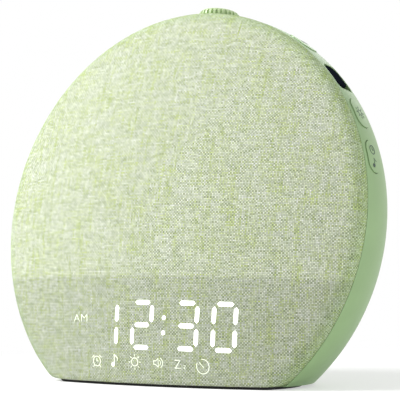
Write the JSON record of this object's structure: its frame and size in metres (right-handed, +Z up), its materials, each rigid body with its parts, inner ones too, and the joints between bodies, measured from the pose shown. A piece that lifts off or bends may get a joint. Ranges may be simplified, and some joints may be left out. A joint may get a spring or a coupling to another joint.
{
  "type": "sunrise alarm clock",
  "caption": "Leaning round bedside sunrise clock with a woven fabric front, glowing display, ribbed top knob, rim buttons and a flat rubber foot.",
  "frame": {"origin": "on the ground, at the middle of the rubber foot's underside", "axes": "+X to the clock's right as seen from the front, +Y to its back, +Z up; the display faces -Y"},
  "size_m": [0.177, 0.0756, 0.1566],
  "materials": {
    "sage_fabric": "plain woven melange cloth, sage green with grey and white",
    "opal_plastic": "opal diffuser",
    "smoke_plastic": "smoked clear window",
    "black_plastic": "moulded",
    "black_gloss_plastic": "glossy moulded",
    "light_guide": "milky light guide",
    "circuit_board": "solder resist",
    "white_plastic": "white reflective",
    "light_chip": "phosphor",
    "green_plastic": "satin, finely textured",
    "foot_rubber": "matt",
    "screw_steel": "zinc plated",
    "switch_steel": "plated case",
    "cell_steel": "polished",
    "aluminium_shaft": "turned",
    "amber_film": "polyimide film",
    "black_foam": "soft",
    "black_metal": "pressed steel, black",
    "magnet_ferrite": "ferrite",
    "cone_paper": "pressed paper",
    "contact_brass": "plated contact"
  },
  "bodies": {
    "housing": {"front_fabric": "sage_fabric", "front_shell": "opal_plastic", "display_window": "smoke_plastic", "display_mask": "black_plastic", "display_segments": "light_guide", "display_board": "circuit_board", "light_tray": "white_plastic", "light_board": "circuit_board", "light_leds": "light_chip", "rear_housing": "green_plastic", "base_foot": "foot_rubber", "housing_screws": "screw_steel", "control_bracket": "white_plastic", "bracket_screws": "screw_steel", "control_strip": "amber_film", "tact_switches": "switch_steel", "slide_switch": "switch_steel", "encoder_body": "switch_steel", "encoder_board": "circuit_board", "encoder_washer": "screw_steel", "encoder_nut": "screw_steel", "speaker_gasket": "black_foam", "speaker_frame": "black_metal", "speaker_screws": "screw_steel", "speaker_magnet": "magnet_ferrite", "inlet_socket": "black_plastic", "inlet_pin": "contact_brass", "inlet_nut": "screw_steel", "battery_door": "green_plastic", "battery_door_screw": "screw_steel", "battery_holder": "black_plastic", "coin_cell": "cell_steel", "main_board": "circuit_board", "board_screws": "screw_steel", "board_chips": "black_plastic"},
    "encoder_plunger": {"encoder_plunger": "black_plastic"},
    "knob": {"knob": "green_plastic", "encoder_shaft": "aluminium_shaft"},
    "button_upper": {"button_upper": "green_plastic", "tact_plunger_upper": "black_plastic"},
    "button_middle": {"button_middle": "green_plastic", "tact_plunger_middle": "black_plastic"},
    "button_lower": {"button_lower": "green_plastic", "tact_plunger_lower": "black_plastic"},
    "slide_cap": {"slide_cap": "black_gloss_plastic"},
    "speaker_cone": {"speaker_cone": "cone_paper", "speaker_surround": "black_foam"}
  },
  "joints": [
    {"name": "knob_press", "type": "slide", "parent": "housing", "child": "encoder_plunger", "axis": [0, -0.1925, -0.9813], "range_m": [0, 0.0005], "stiffness_N_per_m": 2000, "springref_m": -0.0005},
    {"name": "knob_turn", "type": "hinge", "parent": "encoder_plunger", "child": "knob", "pos_m": [0, 0.02777, 0.15065], "axis": [0, 0.1925, 0.9813], "continuous": true},
    {"name": "button_upper_press", "type": "slide", "parent": "housing", "child": "button_upper", "axis": [-0.549, -0.1609, -0.8202], "range_m": [0, 0.0006], "stiffness_N_per_m": 1500, "springref_m": -0.0005},
    {"name": "button_middle_press", "type": "slide", "parent": "housing", "child": "button_middle", "axis": [-0.8721, -0.0942, -0.4802], "range_m": [0, 0.0006], "stiffness_N_per_m": 1500, "springref_m": -0.0005},
    {"name": "button_lower_press", "type": "slide", "parent": "housing", "child": "button_lower", "axis": [-0.9578, -0.0553, -0.282], "range_m": [0, 0.0006], "stiffness_N_per_m": 1500, "springref_m": -0.0005},
    {"name": "alarm_slide", "type": "slide", "parent": "housing", "child": "slide_cap", "axis": [0.6613, -0.1444, -0.7361], "range_m": [0, 0.0026]},
    {"name": "speaker_travel", "type": "slide", "parent": "housing", "child": "speaker_cone", "axis": [0, 0.9813, -0.1925], "range_m": [-0.0006, 0.0006], "stiffness_N_per_m": 1200}
  ]
}
